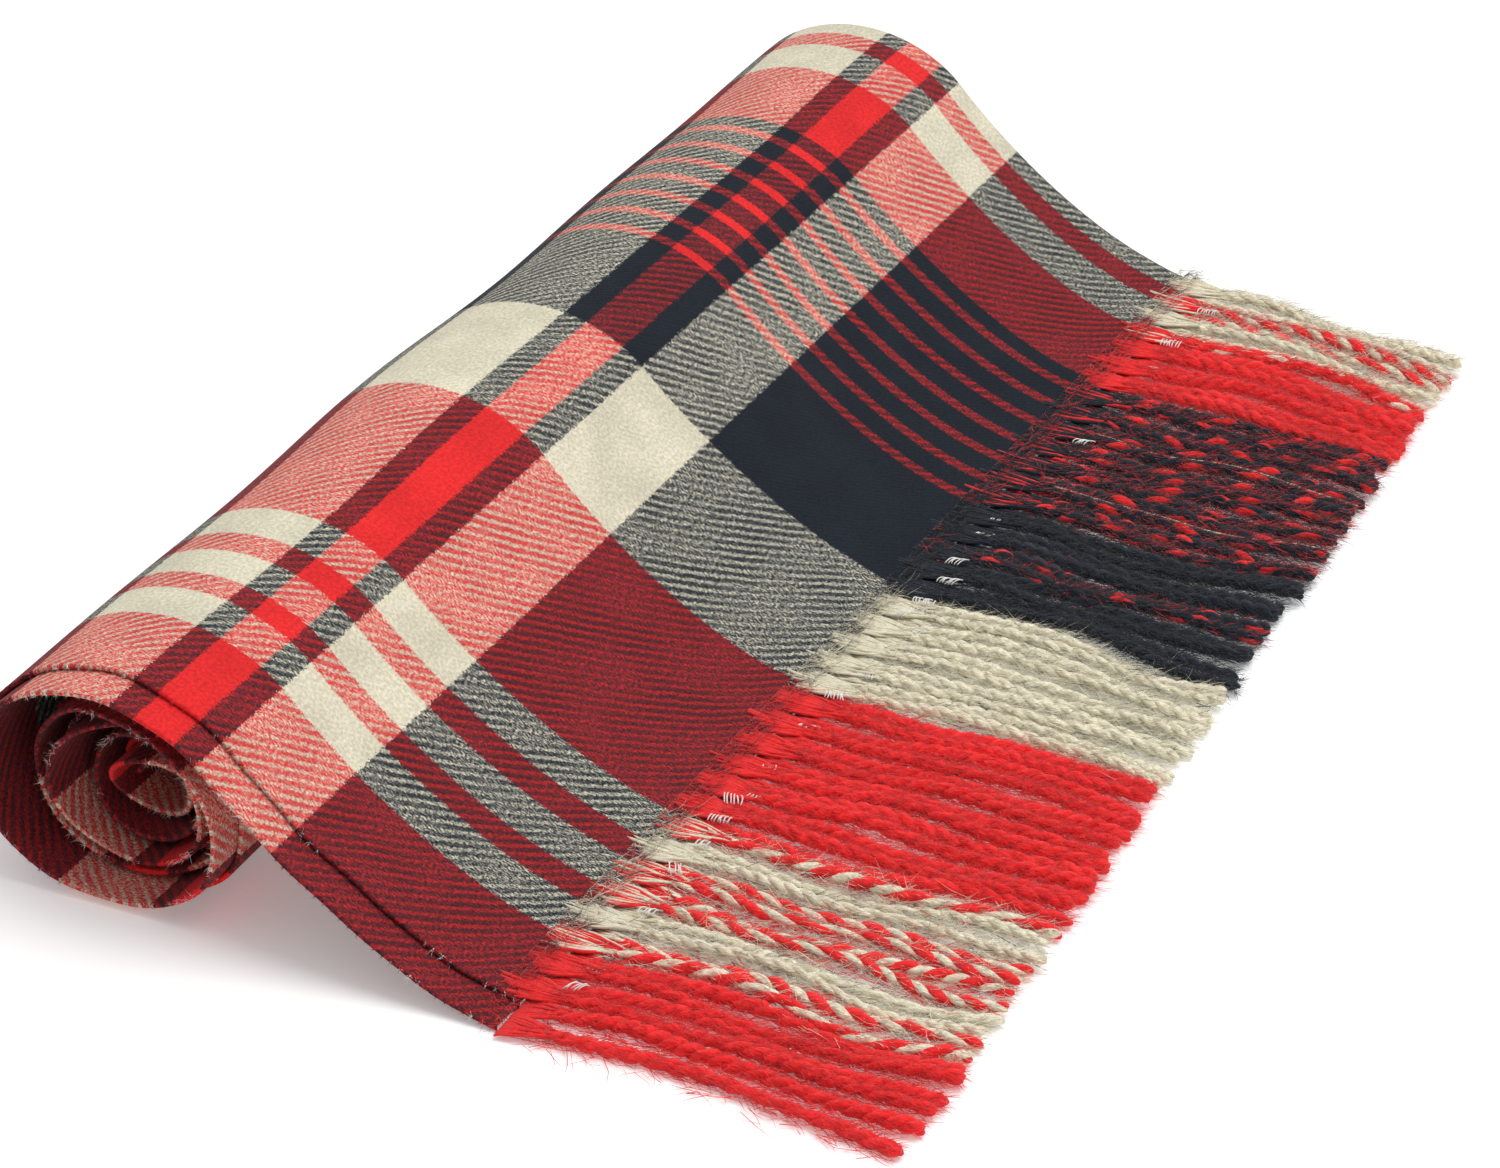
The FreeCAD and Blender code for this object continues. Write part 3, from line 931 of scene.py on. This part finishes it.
def selvedge_fuzz(name, first, last, finishes):
    """Short fibres and weft loops along both selvedges between two rows of the cloth."""
    piece = Piece()
    weft_edges = np.array([end for _, end in WEFT])
    for level, x in ((1, SELVEDGE), (-1, STEP)):
        length = line_length[last - 1] - line_length[first]
        count = int(length / FUZZ_SPACING)
        run = line_length[first] + np.sort(dice.random(count)) * length
        index = np.clip(np.searchsorted(line_length, run), first, last - 1)
        off = (level * LEAF_MIDDLE + dice.uniform(-0.9, 0.9, count) * HALF_THICKNESS
               + ripple(x, line_length[index], turn_at[index]))
        y, z = (line[index] + line_side[index] * off[:, None]).T
        slide = shuffle(x, line_length[index], turn_at[index])
        roots = np.stack([x + slide + 0.0006, y, np.maximum(z, 0.0004)], axis=1)
        out = np.stack([-np.ones(count), dice.normal(0, 0.6, count),
                        dice.normal(0, 0.6, count)], axis=1)
        stripe = np.searchsorted(weft_edges, run % WEFT[-1][1])
        own = np.array([FINISHES.index(yarn_name) for yarn_name, _ in WEFT])[stripe]
        tuft = np.sin(run * 210) + np.sin(run * 67 + x * 40) > 0.9
        own = np.where(tuft & (dice.random(count) < 0.8), WHITE_THREAD, own)
        fibres(piece, roots, out, dice.uniform(0.0006, 0.0014, count) * (1 + 0.5 * tuft),
               dice.uniform(0.00006, 0.00012, count), own, 1.3)
    return piece.build(name, finishes)


def core_fringe(leaf, places_across, finishes):
    """The rolled-in strands, bundled up in the hollow in the middle of the roll."""
    core = wound[-STEPS_PER_TURN:]
    middle = (core.min(axis=0) + core.max(axis=0)) / 2
    half = (core.max(axis=0) - core.min(axis=0)) / 2 - 0.0055
    piece = Piece()
    for number, across in enumerate(places_across):
        plies = ply_yarns(band_at(across), number)
        t = np.linspace(0, 1, 64)
        turn = chance.uniform(0, 2 * math.pi) + t * 2 * math.pi * chance.uniform(1.3, 1.9)
        shrink = 1 - 0.45 * t
        x = SELVEDGE + across + 0.010 * (t - 0.3) + 0.002 * np.sin(t * 14 + number)
        y = middle[0] + half[0] * shrink * np.sin(turn)
        z = middle[1] + half[1] * shrink * np.cos(turn)
        path = np.stack([np.maximum(x, STEP + CORE_FRINGE_START), y, z], axis=1)
        tube(piece, path, 0.0021, 12, (plies[0][0], plies[1][0]), groove=0.28, lay=0.0165)
    made = piece.build(f"{leaf}_core_fringe", finishes)
    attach(made, "roll")
    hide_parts(f"core_fringe_{leaf}")
    return made


# ---- Making the throw ----------------------------------------------------------------------------

twill = twill_group()
warp = stripe_group("warp stripes", warp_stripes())
weft = stripe_group("weft stripes", WEFT)
plaid = plaid_twill(twill, warp, weft)
wool = wool_group()
yarn_finishes = [yarn(name, wool) for name in FINISHES]

points, places = cloth_points()
normals = grid_normals(points)
roll_cloth = cloth("roll_cloth", LIFT_OFF, len(line), normals, points, places, plaid)
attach(roll_cloth, "roll")
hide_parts("roll_upper_leaf", "roll_lower_leaf")
drape_cloth = cloth("drape_cloth", 0, LIFT_OFF + 1, normals, points, places, plaid)
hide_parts("drape_upper_leaf", "drape_lower_leaf")
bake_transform(drape_cloth)

strand_count = int((UPPER_WIDTH - FIRST_STRAND - 0.0034) / STRAND_PITCH) + 1
upper_places = [FIRST_STRAND + STRAND_PITCH * i for i in range(strand_count)]
lower_places = [across - STRAND_PITCH / 2 for across in upper_places]
lower_places.insert(0, 0.0034 - (LOWER_WIDTH - UPPER_WIDTH))
upper_fringe = fringe("upper", 1, upper_places, yarn_finishes)
lower_fringe = fringe("lower", -1, lower_places, yarn_finishes)
core_fringe("upper", upper_places, yarn_finishes)
core_fringe("lower", lower_places, yarn_finishes)
roll_fuzz = selvedge_fuzz("roll_selvedge_fuzz", LIFT_OFF, len(line), yarn_finishes)
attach(roll_fuzz, "roll")
drape_fuzz = selvedge_fuzz("drape_selvedge_fuzz", 0, LIFT_OFF + 1, yarn_finishes)
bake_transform(drape_fuzz)


# ---- Floor, light and camera -------------------------------------------------------------------

SKY_BRIGHT_SIDE = (0.42, -0.10, 0.90)    # the way to its brightest part
SKY_DARK = 0.12                    # its strength away from there, and there
SKY_BRIGHT = 0.66
LAMP_POWER = 25.0
FLOOR_GLOW = 0.22                  # the floor's own light, which keeps it pale
CAMERA_RIGHT = Vector((0.45332, -0.89135, 0.0))
CAMERA_UP = Vector((0.45398, 0.23074, 0.86062))
CAMERA_DISTANCE = 1.819


def floor():
    material = bpy.data.materials.new("floor")
    material.use_nodes = True
    shader = material.node_tree.nodes["Principled BSDF"]
    shader.inputs["Base Color"].default_value = (0.93, 0.93, 0.93, 1.0)
    shader.inputs["Roughness"].default_value = 0.9
    shader.inputs["Emission Color"].default_value = (1.0, 1.0, 1.0, 1.0)
    shader.inputs["Emission Strength"].default_value = FLOOR_GLOW
    mesh = bpy.data.meshes.new("floor")
    size = 6.0
    corners = [(-size, -size, 0), (size, -size, 0), (size, size, 0), (-size, size, 0)]
    mesh.from_pydata(corners, [], [(0, 1, 2, 3)])
    mesh.materials.append(material)
    made = bpy.data.objects.new("floor", mesh)
    made.location.z = -0.0002
    bpy.context.scene.collection.objects.link(made)


def lamp(name, place_at, target, size, power):
    data = bpy.data.lights.new(name, "AREA")
    data.shape = "DISK"
    data.size = size
    data.energy = power
    made = bpy.data.objects.new(name, data)
    made.location = place_at
    made.rotation_euler = (Vector(target) - Vector(place_at)).to_track_quat("-Z", "Y").to_euler()
    bpy.context.scene.collection.objects.link(made)


def studio():
    """Soft light from all round, brightest from above and the far side, and one large lamp."""
    world = bpy.data.worlds.new("studio")
    bpy.context.scene.world = world
    world.use_nodes = True
    tree = world.node_tree
    sky = tree.nodes["Background"]
    way = place(tree, "ShaderNodeTexCoord").outputs["Generated"]
    facing = place(tree, "ShaderNodeVectorMath", {0: way, 1: SKY_BRIGHT_SIDE}, operation="DOT_PRODUCT")
    strength = spread(tree, facing.outputs["Value"], -0.5, 0.8, SKY_DARK, SKY_BRIGHT)
    tree.links.new(strength, sky.inputs["Strength"])
    sky.inputs["Color"].default_value = (1.0, 1.0, 1.0, 1.0)
    lamp("overhead lamp", (0.05, -0.55, 1.9), (0.0, 0.0, 0.0), 1.4, LAMP_POWER)
    bpy.context.scene.view_settings.view_transform = "Standard"


def camera():
    data = bpy.data.cameras.new("camera")
    data.lens = 120.0
    data.sensor_width = 36.0
    made = bpy.data.objects.new("camera", data)
    back = CAMERA_RIGHT.cross(CAMERA_UP).normalized()
    target = Vector((SELVEDGE + 0.1064, CLOTH_END - 0.0394, 0.135))
    turn = Matrix((CAMERA_RIGHT, CAMERA_UP, back)).transposed().to_4x4()
    made.matrix_world = Matrix.Translation(target + back * CAMERA_DISTANCE) @ turn
    bpy.context.scene.collection.objects.link(made)
    bpy.context.scene.camera = made


floor()
studio()
camera()
